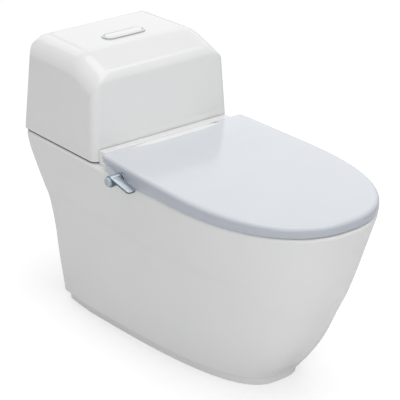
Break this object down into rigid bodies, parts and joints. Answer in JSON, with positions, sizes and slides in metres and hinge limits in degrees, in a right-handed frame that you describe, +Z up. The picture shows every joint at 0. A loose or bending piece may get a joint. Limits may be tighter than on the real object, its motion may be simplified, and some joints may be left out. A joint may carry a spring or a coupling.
{
  "type": "toilet with bidet seat",
  "caption": "Skirted floor-standing toilet with a lift-off hood over its cistern, soft-close seat and lid, and a lever-worked twin-nozzle bidet seat.",
  "frame": {"origin": "centre of the waste outlet, on the floor", "axes": "+Z up, -Y from the outlet to the front of the bowl, +Y to the hood, wash lever on the -X side"},
  "size_m": [0.408, 0.7957, 0.58],
  "materials": {
    "glazed_ceramic": "glossy white glaze",
    "grey_pvc": "plain PVC",
    "black_rubber": "matt",
    "button_white": "glossy moulded ABS",
    "grey_pp": "blow-moulded",
    "white_abs": "moulded",
    "blue_abs": "moulded",
    "steel_pin": "turned",
    "black_pp": "moulded",
    "steel_plate": "pressed",
    "seat_white": "glossy moulded PP",
    "seat_band": "glossy moulded PP",
    "grey_pads": "soft pads",
    "lever_chrome": "satin chrome plate",
    "teal_ring": "tinted cap",
    "steel_tube": "drawn tube"
  },
  "bodies": {
    "pan": {"ceramic_body": "glazed_ceramic", "outlet_sleeve": "grey_pvc", "drain_seal": "black_rubber", "hood_gasket": "black_rubber", "cistern_tank": "grey_pp", "tank_seal": "black_rubber", "flush_tower": "white_abs", "rocker_pin": "steel_pin", "fill_valve_stem": "white_abs", "fill_valve_nut": "white_abs", "fill_valve_cap": "blue_abs", "seat_plate": "steel_plate", "seat_bolts": "steel_pin", "seat_nuts": "black_rubber", "seat_base": "seat_white", "base_end_covers": "seat_band", "hinge_pins": "steel_pin", "control_valve": "white_abs", "bidet_inlet": "lever_chrome", "nozzle_housing": "seat_white"},
    "hood": {"tank_hood": "glazed_ceramic", "button_bezel": "button_white"},
    "button": {"flush_button": "button_white"},
    "rocker": {"flush_rocker": "blue_abs"},
    "valve": {"flush_valve": "blue_abs", "valve_seal": "black_rubber"},
    "float": {"float_cup": "black_pp"},
    "lid": {"seat_lid": "seat_white", "lid_bumpers": "grey_pads"},
    "ring": {"seat_ring": "seat_white", "ring_bumpers": "grey_pads"},
    "lever": {"lever_handle": "lever_chrome", "lever_cap": "teal_ring"},
    "rear_nozzle": {"nozzle_rear": "steel_tube"},
    "front_nozzle": {"nozzle_front": "steel_tube"}
  },
  "joints": [
    {"name": "hood_lift", "type": "slide", "parent": "pan", "child": "hood", "axis": [0, 0, 1], "range_m": [0, 0.125]},
    {"name": "button_press", "type": "slide", "parent": "hood", "child": "button", "axis": [0, 0, -1], "range_m": [0, 0.008], "stiffness_N_per_m": 400, "springref_m": -0.004},
    {"name": "rocker_turn", "type": "hinge", "parent": "pan", "child": "rocker", "pos_m": [0.014, 0.165, 0.482], "axis": [0, -1, 0], "range_deg": [0, 44]},
    {"name": "valve_lift", "type": "slide", "parent": "pan", "child": "valve", "axis": [0, 0, 1], "range_m": [0, 0.017]},
    {"name": "float_rise", "type": "slide", "parent": "pan", "child": "float", "axis": [0, 0, 1], "range_m": [0, 0.03]},
    {"name": "lid_hinge", "type": "hinge", "parent": "pan", "child": "lid", "pos_m": [0, -0.008, 0.396], "axis": [-1, 0, 0], "range_deg": [0, 98]},
    {"name": "ring_hinge", "type": "hinge", "parent": "pan", "child": "ring", "pos_m": [0, -0.008, 0.396], "axis": [-1, 0, 0], "range_deg": [0, 96]},
    {"name": "lever_turn", "type": "hinge", "parent": "pan", "child": "lever", "pos_m": [-0.19, -0.062, 0.3834], "axis": [1, 0, 0], "range_deg": [-35, 35]},
    {"name": "rear_nozzle_slide", "type": "slide", "parent": "pan", "child": "rear_nozzle", "axis": [0, -0.766, -0.6428], "range_m": [0, 0.036], "stiffness_N_per_m": 60, "springref_m": -0.01},
    {"name": "front_nozzle_slide", "type": "slide", "parent": "pan", "child": "front_nozzle", "axis": [0, -0.766, -0.6428], "range_m": [0, 0.036], "stiffness_N_per_m": 60, "springref_m": -0.01}
  ],
  "couplings": [
    {"joint": "rocker_turn", "follows": "button_press", "rad_per_m": 94},
    {"joint": "valve_lift", "follows": "button_press", "ratio": 2.1},
    {"joint": "ring_hinge", "follows": "lid_hinge", "ratio": 0.97}
  ]
}
